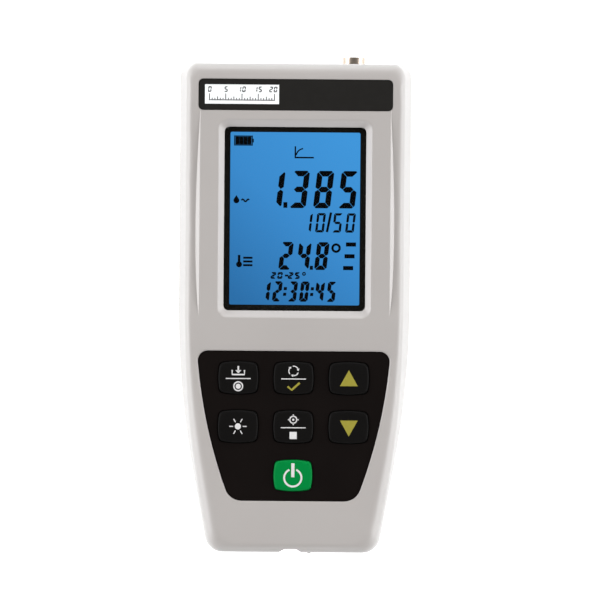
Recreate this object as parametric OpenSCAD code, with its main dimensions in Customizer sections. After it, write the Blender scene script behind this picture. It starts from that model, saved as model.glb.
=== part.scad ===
// Handheld conductivity meter, lying on its back.
// +Z points out of the display, +Y towards the probe socket and +X to the right of the keypad.
// The origin lies on the rear face, under the middle of the whole part with its socket. Millimetres.

/* [Housing] */
// Length from end to end, without the socket
body_l = 186; // [182:1:200]
// Width across the straight upper part
body_w = 88; // [87:0.5:94]
// Height from the rear face to the raised front field
body_h = 40; // [39:0.5:46]
// Height of the joint between the two shells
split_z = 21; // [20.5:0.25:23]
// Wall of both shells
wall = 2.4; // [2.2:0.1:2.8]
// Thickness of the front plate behind the display and keys
face_t = 2.8; // [2.6:0.1:3.2]
// Plan radius of the curve that narrows the lower sides
side_r = 345; // [330:5:420]
// Where that curve starts, measured from the middle towards the socket end
side_curve_y = 2; // [-4:1:8]
// Length along the housing over which the sides curve, before they run straight to the lower end
side_curve_l = 63; // [56:1:70]
// Plan corner radius at the socket end
top_corner_r = 5.4; // [4:0.1:6]
// Plan corner radius at the lower end
low_corner_r = 6.7; // [5:0.1:7.5]
// Depth of the groove that marks the joint between the shells
seam_d = 0.35; // [0.2:0.05:0.5]

/* [Edge rolls] */
// Lean of the upper side walls of the front shell
side_draft = 2.8; // [2:0.1:3.2]
// Edge radius along the upper sides
side_roll_r = 2.9; // [2.4:0.1:3.2]
// Lean of the lower side walls
low_draft = 0.9; // [0.6:0.1:1.4]
// Edge radius along the lower sides
low_roll_r = 5.4; // [4.8:0.1:5.8]
// Lean of both end walls
end_draft = 1.1; // [0.6:0.1:1.4]
// Edge radius at the socket end
top_roll_r = 4.1; // [3.6:0.1:4.8]
// Edge radius at the lower end
foot_roll_r = 3.8; // [3.4:0.1:4.6]
// Lean of the rear shell's walls
rear_draft = 1.6; // [1.2:0.1:2]
// Edge radius round the rear face
rear_roll_r = 5.5; // [4.5:0.1:6]

/* [Grip hollows] */
// Depth of the crescent hollow along each upper side, at its deepest
hollow_d = 1.5; // [0.8:0.05:1.8]
// Distance of the hollow's straight inner edge from the side
hollow_w = 8.3; // [8:0.1:9]
// Width of the slope from that edge down to the hollow's floor, at its widest
hollow_slope_w = 1.75; // [1.2:0.05:1.9]
// Lower end of the hollow
hollow_y0 = -3; // [-8:1:4]
// Upper end of the hollow
hollow_y1 = 74; // [66:1:78]

/* [Display] */
// Width of the face beside the window
window_side = 17.35; // [17:0.05:18.3]
// Distance of the window's upper edge from the socket end
window_from_top = 24.95; // [24.6:0.05:26]
// Width of the face between the window and the keypad
window_to_keypad = 15.05; // [14.5:0.05:16]
// Thickness of the window
window_t = 1.5; // [1:0.1:1.8]
// Corner radius of the window
window_r = 1.9; // [1:0.1:2.5]
// Width of the black gasket along the window's upper edge
gasket_w = 1.9; // [1.7:0.1:3]
// Width of the gasket along the window's other edges
gasket_wide = 2.2; // [1.9:0.1:3]
// Depth of the bevelled pocket, from the front field to the window
pocket_d = 2.2; // [1.6:0.1:2.6]
// Width of the bevel along the sides of the pocket
bevel_side = 2.15; // [1.6:0.05:3]
// Width of the bevel at the ends of the pocket
bevel_end = 2.6; // [2:0.05:3.4]
// Width of the rounding on each side of the pocket's edge
mouth_round = 0.4; // [0.2:0.05:0.6]
// Thickness of the window gasket
gasket_t = 0.3; // [0.2:0.05:0.5]
// Thickness of the ledge that carries the window
ledge_t = 1.2; // [0.9:0.1:1.6]
// How far the display glass reaches past the window on each side
glass_over = 1.6; // [1:0.1:2]
// Thickness of the display glass
glass_t = 2.2; // [1.8:0.1:2.8]
// Thickness of the backlight panel
backlight_t = 2.8; // [2:0.1:3.6]
// Length of the display glass beyond the backlight panel, for a contact strip
strip_room = 5; // [4.4:0.1:6]
// Wall of the display holder
holder_wall = 2; // [1.4:0.1:2.2]
// Width of each contact strip between the glass and the board
strip_w = 2.4; // [1.6:0.1:2.6]

/* [Name plate] */
// Width of the face beside the plate
plate_side = 7.55; // [7:0.05:10]
// Height of the plate across the face
plate_l = 11.7; // [10:0.1:12.5]
// Thickness of the plate
plate_t = 0.8; // [0.5:0.1:1.2]
// Corner radius of the plate
plate_r = 1.8; // [1:0.1:3]
// Distance of the plate's middle from the socket end
plate_from_top = 13; // [12.6:0.1:13.6]

/* [Keypad] */
// Width of the face beside the keypad, where the keypad is widest
keypad_side = 7.2; // [7:0.05:8]
// Distance of the keypad's upper edge from the lower end
keypad_top = 76.9; // [76:0.1:79]
// Distance of the keypad's lower edge from the lower end
keypad_low = 20.45; // [19:0.05:21.4]
// Plan radius of the keypad's side curves
keypad_side_r = 189; // [180:1:200]
// Corner radius at the upper corners
keypad_top_r = 3.8; // [3:0.1:4.6]
// Corner radius at the lower corners
keypad_low_r = 6.5; // [5:0.1:7]
// Thickness of the black fascia
fascia_t = 1; // [0.8:0.1:1.2]
// How far the fascia lies below the front field
fascia_drop = 0.4; // [0.3:0.05:0.6]
// Width of the bevel round the keypad
rim_w = 0.6; // [0.4:0.05:1]
// Width of the fascia beside the outer keys, where the keypad is widest
key_side = 8.45; // [8:0.05:9]
// Gap between key columns
key_space = 5.55; // [5:0.05:6]
// Height of a key across the face
key_l = 12.4; // [11.4:0.1:13]
// How far each side of a key bulges between its corners
key_bulge = 0.7; // [0.3:0.05:1]
// Corner radius of a key
key_corner_r = 1.2; // [1:0.1:2]
// Corner radius of the power key
power_corner_r = 0.8; // [0.7:0.1:2]
// How much narrower the power key is than the others
power_less = 0.6; // [0:0.1:1.2]
// Height of the power key
power_l = 11.8; // [10.8:0.1:12.4]
// Distance between key rows
key_pitch_y = 18.3; // [17.6:0.05:18.6]
// Distance of the first row's middle from the keypad's upper edge
first_row = 10.15; // [9:0.05:10.4]
// How far a key stands above the fascia
key_rise = 0.7; // [0.5:0.05:1]
// Travel of a key
key_travel = 0.8; // [0.5:0.05:1]
// Gap round each key
key_gap = 0.22; // [0.15:0.01:0.3]
// Width of the flange that keeps a key in its place
key_flange = 1; // [0.7:0.1:1.2]
// Thickness of that flange
flange_t = 1; // [0.7:0.1:1.2]
// Radius of the stem that presses the board
stem_r = 2.2; // [1.6:0.1:3]

/* [Board] */
// Thickness of the main board
board_t = 1.6; // [1.2:0.1:2]
// Distance of the board's edge from the housing's outline
board_inset = 8; // [7:0.25:9]
// Thickness of the contact pads under the keys
pad_t = 0.1; // [0.05:0.05:0.15]
// Radius of the contact pads
pad_r = 3; // [2.4:0.1:3.6]

/* [Probe socket] */
// Radius of the socket's barrel
socket_r = 4.25; // [4:0.05:4.5]
// Radius of the barrel's bore
socket_bore_r = 3.2; // [2.9:0.05:3.4]
// How far the barrel stands out of the socket end
socket_out = 2.85; // [2:0.05:4]
// Distance of the socket's axis from the housing's right side
socket_from_side = 21.9; // [21.4:0.1:26]
// Height of the socket's axis above the rear face
socket_z = 13.6; // [13.5:0.05:13.8]
// Radius of the socket's outer flange
collar_r = 5.5; // [5.2:0.1:5.7]
// Thickness of that flange
collar_t = 0.8; // [0.6:0.1:1]
// Depth of the round seat that the flange lies in
seat_d = 1.8; // [1.6:0.1:2]
// Thickness of the sealing ring under the flange
ring_t = 0.7; // [0.5:0.05:0.8]
// Number of contact pins
pin_n = 6; // [4:1:8]
// Radius of a contact pin
pin_r = 0.5; // [0.35:0.05:0.5]
// Radius of the circle that the pins stand on
pin_circle_r = 1.95; // [1.8:0.05:2.1]

/* [Battery] */
// Number of cells side by side
cell_n = 4; // [4]
// Radius of a cell
cell_r = 7.1; // [6.9:0.05:7.15]
// Length of a cell over its nub
cell_l = 50.5; // [49:0.1:50.5]
// Distance between cells
cell_pitch = 14.6; // [14.4:0.05:14.7]
// Working length of a contact spring
spring_l = 4; // [3:0.1:4.4]
// Thickness of a contact plate
contact_t = 0.5; // [0.3:0.1:0.6]
// Wall round the battery bay
bay_wall = 1.6; // [1.2:0.1:1.8]
// Middle of the battery door along the housing
door_y = -14; // [-15:0.5:-10]
// Thickness of the door
door_t = 2.4; // [2.2:0.1:2.6]
// How far the door's face lies inside the rear face
door_sink = 0.25; // [0.15:0.05:0.4]
// Width of the ledge that the door closes on
door_lip = 2.6; // [2.4:0.1:2.8]
// Corner radius of the door
door_r = 6; // [4.5:0.5:7]
// Thickness of the door seal
door_seal_t = 0.6; // [0.4:0.05:0.8]

/* [Fasteners] */
// Shank radius of the case screws and door screws
screw_r = 1.5; // [1.3:0.05:1.6]
// Head radius of the case screws
head_r = 2.75; // [2.6:0.05:2.8]
// Head height of the case screws
head_h = 2; // [1.6:0.1:2.4]
// Depth of the case screws' heads inside the rear face
head_sink = 6; // [4:0.5:8]
// Length of thread in the front shell
thread_l = 9; // [7:0.5:11]
// Head radius of the door screws
coin_r = 3.9; // [3.6:0.05:4]
// Length of a door screw's shank
door_shank = 9; // [7:0.5:10]
// Shank radius of the board screws
board_screw_r = 1.1; // [0.9:0.05:1.25]

/* [Lower end] */
// Width of the notch in the lower end, where it opens
notch_w = 12; // [10:0.1:14]
// Width of the notch's flat top
notch_top_w = 4.6; // [3:0.1:6]
// Depth of that notch
notch_d = 2.4; // [1.8:0.05:2.6]
// Radius of the notch's corners
notch_round = 1.2; // [0.6:0.1:1.6]
// How far the notch lies to the left of the middle line
notch_left = 0.8; // [0:0.1:1.2]
// How far the nib beside the notch stands out
nib_out = 0.4; // [0.3:0.05:0.6]
// Distance of the nib from the middle line
nib_x = 6.3; // [6:0.1:9]

/* [Hidden] */
$fn = 48;

// Clearances
fit = 0.1;
slide_gap = 0.2;
turn_gap = 0.05;
thread_gap = 0.03;
overcut = 1;

// Steps in each corner arc, lower straight, side curve and upper straight of a plan outline
corner_n = 6;
low_line_n = 4;
side_n = 12;
line_n = 16;
roll_n = 5;

// Heights, from the front field down
face_z = body_h;
window_z = face_z - pocket_d - window_t;
ledge_z = window_z - gasket_t;
ledge_low_z = ledge_z - ledge_t;
glass_z = ledge_low_z - fit - glass_t;
board_top = glass_z - backlight_t;
board_low = board_top - board_t;
fascia_z = face_z - fascia_drop - fascia_t;
fascia_top = fascia_z + fascia_t;
plate_z = face_z - plate_t;
cavity_top = face_z - face_t;
flange_top = fascia_z - fit;
key_top = fascia_top + key_rise;
rim_d = fascia_drop;

// Heights, from the rear face up
rear_t = wall;
door_in_z = door_sink + door_t;
door_seat_z = door_in_z + door_seal_t;
rib_h = 0.9;
cell_z = door_in_z + rib_h + 0.3 + cell_r;
bay_top = cell_z + cell_r + 0.3;
bay_roof = bay_top + bay_wall;

// Places along the housing
end_y = body_l / 2;
plate_y = end_y - plate_from_top;
keypad_y1 = -end_y + keypad_top;
keypad_y0 = -end_y + keypad_low;
window_y1 = end_y - window_from_top;
window_y0 = keypad_y1 + window_to_keypad;
display_y = (window_y0 + window_y1) / 2;
socket_x = body_w / 2 - socket_from_side;
keypad_curve_y = keypad_y1 + 12.6;
row_y = [for (i = [0:2]) keypad_y1 - first_row - i * key_pitch_y];

// Direction in which the sides face once their curve has ended, in degrees
side_a = -asin(side_curve_l / side_r);

// Upper end of the steps along the straight sides
line_top_y = end_y - 17;

// Half the height of the groove between the shells
seam_h = 0.6;

// Least distance between two rings of the housing, and what moves the hollow's deepest place downwards
ring_gap = 0.3;
hollow_skew = 0.8;

// Walls of the hollow inside the housing
cavity_inset = wall + 2;
shoulder_inset = cavity_inset + 2.2;
shoulder_z = face_z - face_t - 1.4;
corner_inset = hollow_w + 0.3;
rear_corner_inset = cavity_inset + 2.6;
step_z = face_z - low_roll_r - 1.6;
rear_step_z = rear_roll_r + 1.5;

// Housing seal, in a groove of the rear shell's rim
seal_inset = 1.6;
seal_w = 1.4;
seal_h = 1.2;

// Display pieces
window_w = body_w - 2 * window_side;
window_l = window_y1 - window_y0;
view_w = window_w - 2 * gasket_wide;
view_l = window_l - gasket_w - gasket_wide;
view_y = display_y + (gasket_wide - gasket_w) / 2;
glass_w = window_w + 2 * glass_over;
glass_l = window_l + 2 * glass_over;
backlight_l = glass_l - 2 * strip_room;
pocket_r = window_r + 1.7;
plate_w = body_w - 2 * plate_side;
holder_w = glass_w + 2 * slide_gap + 2 * holder_wall;
holder_l = glass_l + 2 * slide_gap + 2 * holder_wall;
strip_y = (backlight_l + glass_l) / 4 + 0.3;
strip_l = view_w + 1;

// Keys: the rounded edge lists how far in and how far down each ring lies
keypad_w = body_w - 2 * keypad_side;
key_w = (keypad_w - 2 * key_side - 2 * key_space) / 3;
power_w = key_w - power_less;
key_pitch_x = key_w + key_space;
key_corner_n = 3;
key_side_n = 6;
key_edge = [[0.08, 0.6], [0.25, 0.25], [0.6, 0.06], [1.3, 0]];

// Battery bay and door
bay_w = cell_n * cell_pitch + 0.6;
bay_l = cell_l + spring_l + 2 * contact_t;
nub_l = 1.2;
nub_r = 2.7;
screw_end = 10;
door_w = bay_w + 2 * door_lip;
door_l = bay_l + 2 * screw_end;
door_screw_y = [door_y + bay_l / 2 + screw_end / 2, door_y - bay_l / 2 - screw_end / 2];
coin_h = 1.3;
coin_low_z = door_sink + fit;
coin_seat_z = coin_low_z + coin_h;
coin_slot_w = 1.4;
coin_slot_d = 0.7;
outer_cell_x = (cell_n - 1) * cell_pitch / 2;
tab_w = 4;
tab_top = bay_roof + contact_t + fit;
tab_foot = 4;
spring_low_r = 4.4;
spring_high_r = 3.2;
spring_wall = 0.8;
supply_r = 0.8;
supply_collar_r = 1.4;

// Case screws, board screws and what carries them
boss_r = 3.4;
relief_r = boss_r + 0.5;
rear_boss_r = head_r + 1.6;
post_r = 2.8;
head_z = head_sink + head_h;
boss_inset = 11;
bosses = [boss_at(end_y - 12, boss_inset), boss_at(display_y - 3.6, 8.8), boss_at(-end_y + 13, boss_inset)];
posts = [[bosses[0][0] - 13, end_y - 13], [bosses[2][0] - 11, -end_y + 13]];
board_head_r = 2.1;
board_head_h = 1.5;
board_thread = 5;

// Pieces on the board
controller_w = 12;
controller_h = 1.4;
chip_w = 6;
chip_l = 5;
chip_h = 1.6;
chip_pitch = 10;
chip_x = 14;
crystal_r = 1.5;
crystal_l = 8;
capacitor_r = 3.1;
capacitor_h = 6;
capacitor_pitch = 9;
board_piece_x = -body_w / 2 + 18;

// Socket, along its own axis from the seat, outwards positive
seat_y = end_y - seat_d;
inner_s = -(cavity_inset - seat_d);
tip_s = seat_d + socket_out;
washer_t = 0.6;
washer_r = 6.1;
nut_t = 2.8;
nut_r = 6.3;
barrel_tail = 3;
barrel_s = inner_s - washer_t - nut_t - barrel_tail;
insulator_s = -2;
insulator_l = 8;
pin_short = 1.2;
tail_l = 2.5;
lead_r = 0.45;
lead_run = 1.2;

// Shift that puts the origin under the middle of the whole part
frame_y = -(socket_out - nib_out) / 2;

shell_colour = [0.74, 0.72, 0.70];
black_colour = [0.09, 0.08, 0.08];
metal_colour = [0.78, 0.77, 0.75];
board_colour = [0.09, 0.33, 0.20];

// Plan outlines

function arc(c, r, a0, a1, n) =
    [for (i = [0:n]) let (a = a0 + (a1 - a0) * i / n) c + r * [cos(a), sin(a)]];

function tail(list) = [for (i = [1:len(list) - 1]) list[i]];

function mix(a, b, t) = a + (b - a) * t;

function clamp(t) = max(0, min(1, t));

// How far the lower side has come in at y, along its curve and then straight on
function sag(y) =
    let (run = max(0, side_curve_y - y), bent = min(run, side_curve_l))
    side_r - sqrt(pow(side_r, 2) - pow(bent, 2)) - (run - bent) * tan(side_a);

function boss_at(y, inset) = [body_w / 2 - sag(y) - inset, y];

// Right half of an outline, from the middle of its lower edge to the middle of its upper edge.
// The sides are straight above y_side. Below it they narrow along an arc of radius r_side, until they
// face the direction line_a, and from there they run straight to the lower corner.
function half_plan(w, y0, y1, r_side, y_side, r_low, r_top, line_a = -90) =
    let (
        cx = w / 2 - r_side,
        low_y = y0 + r_low,
        arc_x = cx + sqrt(pow(r_side - r_low, 2) - pow(low_y - y_side, 2)),
        arc_a = atan2(low_y - y_side, arc_x - cx),
        straight = arc_a < line_a,
        low_a = straight ? line_a : arc_a,
        low_x = straight ? cx + (r_side - r_low - (low_y - y_side) * sin(low_a)) / cos(low_a) : arc_x,
        corner_end = [low_x, low_y] + r_low * [cos(low_a), sin(low_a)],
        curve_end = [cx, y_side] + r_side * [cos(low_a), sin(low_a)],
        top_y = y1 - r_top,
        curved = top_y < y_side,
        top_x = curved ? cx + sqrt(pow(r_side - r_top, 2) - pow(top_y - y_side, 2)) : w / 2 - r_top,
        top_a = curved ? atan2(top_y - y_side, top_x - cx) : 0,
        top_arc = arc([top_x, top_y], r_top, top_a, 90, corner_n)
    )
    concat(
        arc([low_x, low_y], r_low, -90, low_a, corner_n),
        straight ? [for (i = [1:low_line_n]) mix(corner_end, curve_end, i / low_line_n)] : [],
        tail(arc([cx, y_side], r_side, low_a, top_a, side_n)),
        curved ? [] : [for (i = [1:line_n]) [w / 2, mix(y_side, line_top_y, i / line_n)]],
        curved ? tail(top_arc) : top_arc
    );

function both_sides(half) =
    concat(half, [for (i = [len(half) - 1:-1:0]) concat([-half[i][0]], tail(half[i]))]);

function housing_half(inset) =
    half_plan(body_w - 2 * inset, -end_y + inset, end_y - inset, side_r - inset, side_curve_y,
        low_corner_r, top_corner_r, side_a);

function housing_plan(inset) = both_sides(housing_half(inset));

function keypad_plan(inset) =
    both_sides(half_plan(keypad_w - 2 * inset, keypad_y0 + inset, keypad_y1 - inset, keypad_side_r - inset,
        keypad_curve_y, keypad_low_r - inset, keypad_top_r - inset));

function round_rect(w, l, r, n = 5) =
    concat(
        arc([w / 2 - r, l / 2 - r], r, 0, 90, n),
        arc([-w / 2 + r, l / 2 - r], r, 90, 180, n),
        arc([-w / 2 + r, -l / 2 + r], r, 180, 270, n),
        arc([w / 2 - r, -l / 2 + r], r, 270, 360, n)
    );

// The same outline with n steps in each corner and m steps along each side
function stepped_rect(half, r, n, m) =
    let (turned = [[1, 1], [-1, 1], [-1, -1], [1, -1]])
    [
        for (k = [0:3])
            let (
                c = [for (j = [0, 1]) turned[k][j] * (half[j] - r)],
                next = [for (j = [0, 1]) turned[(k + 1) % 4][j] * (half[j] - r)],
                out = r * [cos(90 * k + 90), sin(90 * k + 90)]
            )
            each concat(
                arc(c, r, 90 * k, 90 * k + 90, n),
                [for (j = [1:m - 1]) mix(c + out, next + out, j / m)]
            )
    ];

// Outline of a key: four bulging sides that meet in small corners. Its size is a width, a height and the
// radius of those corners.
function key_plan(size, inset) =
    let (half = [for (j = [0, 1]) size[j] / 2 - key_bulge - inset])
    [
        for (p = stepped_rect(half, size[2], key_corner_n, key_side_n))
            [for (j = [0, 1]) p[j] + sign(p[j]) * key_bulge * (1 - pow(p[1 - j] / half[1 - j], 2))]
    ];

function raised(points, z) = [for (p = points) [p[0], p[1], z]];

// Solids from outlines

module slab(points, z0, z1) {
    translate([0, 0, z0]) linear_extrude(z1 - z0) polygon(points);
}

// Skin over a stack of rings that have the same number of points and rise from first to last
module loft(rings) {
    n = len(rings[0]);
    last = len(rings) - 1;
    sides = [
        for (k = [0:last - 1]) for (i = [0:n - 1])
            let (a = k * n + i, b = k * n + (i + 1) % n)
            each [[a, a + n, b], [b, a + n, b + n]]
    ];
    polyhedron(
        points = [for (ring = rings) each ring],
        faces = concat([[for (i = [0:n - 1]) i]], [[for (i = [n - 1:-1:0]) last * n + i]], sides)
    );
}

module in_frame() {
    translate([0, frame_y, 0]) children();
}

module pairs(spots) {
    for (p = spots) for (side = [-1, 1]) translate([side * p[0], p[1], 0]) children();
}

// Housing: an edge roll whose lean and radius change from point to point round the outline

base = housing_half(0);
half_n = len(base);
first_top = half_n - 1 - corner_n;

// 1 where a point faces an end of the housing, 0 along the sides
facing_end = [for (i = [0:half_n - 1]) clamp(max(1 - i / corner_n, (i - first_top) / corner_n))];

// 0 along the upper sides, 1 where the lower sides have become one soft roll
low_share = [for (p = base) clamp((-12 - p[1]) / 62)];

end_roll_r = [for (p = base) p[1] > 0 ? top_roll_r : foot_roll_r];
side_lean = [for (s = low_share) mix(side_draft, low_draft, s)];
side_roll = [for (s = low_share) mix(side_roll_r, low_roll_r, s)];
draft = [for (i = [0:half_n - 1]) mix(side_lean[i], end_draft, facing_end[i])];
roll_r = [for (i = [0:half_n - 1]) mix(side_roll[i], end_roll_r[i], facing_end[i])];

// Place along the grip hollow, 0 to 1, and its share of the full depth, which is greatest below the middle
hollow_u = [for (p = base) clamp((p[1] - hollow_y0) / (hollow_y1 - hollow_y0))];
hollow_share = [for (u = hollow_u) pow(max(0, sin(180 * pow(u, hollow_skew))), hollow_skew)];
band_z = [for (s = hollow_share) face_z - hollow_d * s];
foot_inset = [for (s = hollow_share) hollow_w - max(ring_gap, hollow_slope_w * s)];

function ring(inset, z) =
    both_sides([for (i = [0:half_n - 1]) concat(housing_half(inset[i])[i], z[i])]);

function level(z) = [for (p = base) z];

function roll_ring(a) =
    ring([for (i = [0:half_n - 1]) draft[i] + roll_r[i] * (1 - cos(a))],
        [for (i = [0:half_n - 1]) band_z[i] - roll_r[i] * (1 - sin(a))]);

// A ring on the slope from the hollow up to the raised field, past its edge where share is over 1
function step_ring(share, rise) =
    ring([for (f = foot_inset) mix(f, hollow_w, min(share, 1)) + max(share - 1, 0)],
        [for (z = band_z) mix(z, face_z, rise)]);

front_rings = concat(
    [ring(level(seam_d), level(split_z)), ring(level(0), level(split_z + seam_h))],
    [for (i = [0:roll_n]) roll_ring(90 * i / roll_n)],
    [step_ring(0, 0), step_ring(0.15, 0.08), step_ring(0.85, 0.88), step_ring(1, 0.97), step_ring(1.8, 1)]
);

function rear_ring(a) =
    ring(level(rear_draft + rear_roll_r * (1 - cos(a))), level(rear_roll_r * (1 - sin(a))));

rear_rings = concat(
    [for (i = [roll_n:-1:0]) rear_ring(90 * i / roll_n)],
    [ring(level(0), level(split_z - seam_h)), ring(level(seam_d), level(split_z))]
);

// Right half of the notch: a slanted side and a rounded corner up to the flat top
function notch_half() =
    let (
        a = atan2(notch_d, (notch_w - notch_top_w) / 2),
        c = [notch_top_w / 2 - notch_round * tan(a / 2), -end_y + notch_d - notch_round]
    )
    concat([[notch_w / 2 + overcut / tan(a), -end_y - overcut]], arc(c, notch_round, 90 - a, 90, 4));

module end_notch() {
    translate([-notch_left, 0, 0]) slab(both_sides(notch_half()), -overcut, body_h + overcut);
}

// A ring of the pocket: share goes from 0 at the window to 1 at the edge, and out is added beyond it
function pocket_ring(share, out, depth) =
    raised(
        round_rect(window_w + 2 * (bevel_side * share + out), window_l + 2 * (bevel_end * share + out),
            mix(window_r, pocket_r, share) + out),
        face_z - depth);

module display_pocket() {
    lip = 0.7 * mouth_round / bevel_side;
    loft([
        pocket_ring(0, 0, pocket_d),
        pocket_ring(1 - lip, 0, lip * pocket_d),
        pocket_ring(1, 0.08 * mouth_round, 0.18 * mouth_round),
        pocket_ring(1, mouth_round, 0),
        pocket_ring(1, mouth_round, -overcut)
    ]);
}

module key_spots(grow, z0, z1) {
    for (k = keys) translate([k[0], k[1], 0]) slab(round_rect(k[2][0] + grow, k[2][1] + grow, 2), z0, z1);
}

module front_shell() {
    color(shell_colour) in_frame() difference() {
        loft(front_rings);
        difference() {
            union() {
                slab(housing_plan(cavity_inset), split_z - overcut, step_z);
                slab(housing_plan(shoulder_inset), split_z - overcut, shoulder_z);
                slab(housing_plan(corner_inset), split_z - overcut, cavity_top);
            }
            translate([0, display_y, 0])
                slab(round_rect(holder_w + wall, holder_l + wall, 2), ledge_low_z, face_z);
            pairs(bosses) translate([0, 0, split_z]) cylinder(h = face_z - split_z, r = boss_r);
            pairs(posts) translate([0, 0, board_top]) cylinder(h = face_z - board_top, r = post_r);
        }
        translate([0, display_y, 0]) {
            display_pocket();
            slab(round_rect(window_w + 2 * fit, window_l + 2 * fit, window_r), ledge_z, face_z - pocket_d);
            translate([0, view_y - display_y, 0])
                slab(round_rect(view_w + 1, view_l + 1, 1), ledge_low_z - overcut, ledge_z + overcut / 2);
        }
        translate([0, plate_y, 0])
            slab(round_rect(plate_w + 2 * fit, plate_l + 2 * fit, plate_r), plate_z, face_z + overcut);
        slab(keypad_plan(0), fascia_z, face_z);
        loft([raised(keypad_plan(0), face_z - rim_d), raised(keypad_plan(-rim_w), face_z),
            raised(keypad_plan(-rim_w), face_z + overcut)]);
        key_spots(2 * key_flange + 2 * slide_gap, cavity_top - overcut, fascia_z + overcut / 2);
        pairs(bosses) translate([0, 0, split_z - overcut])
            cylinder(h = thread_l + 2 + overcut, r = screw_r + thread_gap);
        pairs(posts) translate([0, 0, board_top - overcut])
            cylinder(h = board_thread + 1 + overcut, r = board_screw_r + thread_gap);
        end_notch();
    }
}

// Places a solid on the socket's axis, with its local Z running outwards from the seat
module on_socket() {
    translate([socket_x, seat_y, socket_z]) rotate([-90, 0, 0]) children();
}

module tab_slots() {
    for (side = [-1, 1])
        translate([side * outer_cell_x - tab_w / 2 - slide_gap, door_y - bay_l / 2, bay_top - overcut])
            cube([tab_w + 2 * slide_gap, contact_t + slide_gap, bay_wall + 2 * overcut]);
}

module rear_shell() {
    color(shell_colour) in_frame() {
        difference() {
            loft(rear_rings);
            difference() {
                union() {
                    slab(housing_plan(cavity_inset), rear_step_z, split_z + overcut);
                    slab(housing_plan(rear_corner_inset), rear_t, split_z + overcut);
                }
                pairs(bosses) cylinder(h = split_z, r = rear_boss_r);
                translate([0, door_y, 0]) {
                    slab(round_rect(door_w + 2 * wall, door_l + 2 * wall, door_r + wall),
                        0, door_seat_z + bay_wall);
                    slab(round_rect(bay_w + 2 * bay_wall, bay_l + 2 * bay_wall, 1), 0, bay_roof);
                }
                for (y = door_screw_y) translate([0, y, 0])
                    cylinder(h = coin_seat_z + door_shank + 2.5, r = screw_r + 2.6);
            }
            translate([0, door_y, 0]) {
                slab(round_rect(door_w + 2 * slide_gap, door_l + 2 * slide_gap, door_r),
                    -overcut, door_seat_z);
                slab(round_rect(bay_w, bay_l, 0.5), -overcut, bay_top);
            }
            for (y = door_screw_y) translate([0, y, 0])
                cylinder(h = coin_seat_z + door_shank + 0.5, r = screw_r + turn_gap);
            tab_slots();
            pairs(bosses) {
                translate([0, 0, -overcut]) cylinder(h = head_z + overcut, r = head_r + 0.25);
                cylinder(h = split_z + overcut, r = screw_r + fit);
            }
            on_socket() {
                cylinder(h = seat_d + overcut, r = collar_r + 0.4);
                translate([0, 0, inner_s - overcut])
                    cylinder(h = overcut - inner_s + overcut, r = socket_r + turn_gap);
            }
            difference() {
                slab(housing_plan(seal_inset), split_z - seal_h, split_z + overcut);
                slab(housing_plan(seal_inset + seal_w), split_z - seal_h - overcut, split_z + 2 * overcut);
            }
            end_notch();
        }
        translate([nib_x, -end_y + 1.2 - nib_out, split_z - 4]) cylinder(h = 3, r = 1.2);
    }
}

module housing_seal() {
    color(black_colour) in_frame() difference() {
        slab(housing_plan(seal_inset + turn_gap), split_z - seal_h, split_z);
        slab(housing_plan(seal_inset + seal_w - turn_gap), split_z - seal_h - overcut, split_z + overcut);
    }
}

// Display

module name_plate() {
    color(black_colour) in_frame() translate([0, plate_y, 0])
        slab(round_rect(plate_w, plate_l, plate_r), plate_z, face_z - turn_gap);
}

module display_window() {
    color([0.75, 0.85, 0.9, 0.35]) in_frame() translate([0, display_y, 0])
        slab(round_rect(window_w, window_l, window_r), window_z, window_z + window_t);
}

module window_gasket() {
    color(black_colour) in_frame() translate([0, display_y, 0]) difference() {
        slab(round_rect(window_w, window_l, window_r), ledge_z, window_z);
        translate([0, view_y - display_y, 0])
            slab(round_rect(view_w, view_l, 0.6), ledge_z - overcut, window_z + overcut);
    }
}

module display_glass() {
    color([0.25, 0.56, 0.85]) in_frame() translate([0, display_y, 0])
        slab(round_rect(glass_w, glass_l, 0.5), glass_z, glass_z + glass_t);
}

module display_holder() {
    color([0.2, 0.2, 0.2]) in_frame() translate([0, display_y, 0]) difference() {
        slab(round_rect(holder_w, holder_l, 1), board_top, ledge_low_z);
        slab(round_rect(glass_w + 2 * slide_gap, glass_l + 2 * slide_gap, 0.5), board_top - overcut, face_z);
    }
}

module backlight_panel() {
    color([0.9, 0.95, 1]) in_frame() translate([0, display_y, 0])
        slab(round_rect(glass_w - 0.4, backlight_l, 0.5), board_top, glass_z);
}

module contact_strips() {
    color([0.8, 0.45, 0.55]) in_frame() for (side = [-1, 1])
        translate([-strip_l / 2, display_y + side * strip_y - strip_w / 2, board_top])
            cube([strip_l, strip_w, glass_z - board_top]);
}

// Keypad

key_size = [key_w, key_l, key_corner_r];
power_size = [power_w, power_l, power_corner_r];
keys = [
    [-key_pitch_x, row_y[0], key_size],
    [0, row_y[0], key_size],
    [key_pitch_x, row_y[0], key_size],
    [-key_pitch_x, row_y[1], key_size],
    [0, row_y[1], key_size],
    [key_pitch_x, row_y[1], key_size],
    [0, row_y[2], power_size]
];

module keypad_fascia() {
    color(black_colour) in_frame() difference() {
        slab(keypad_plan(fit), fascia_z, fascia_top);
        for (k = keys) translate([k[0], k[1], 0])
            slab(key_plan(k[2], -key_gap), fascia_z - overcut, fascia_top + overcut);
    }
}

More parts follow.
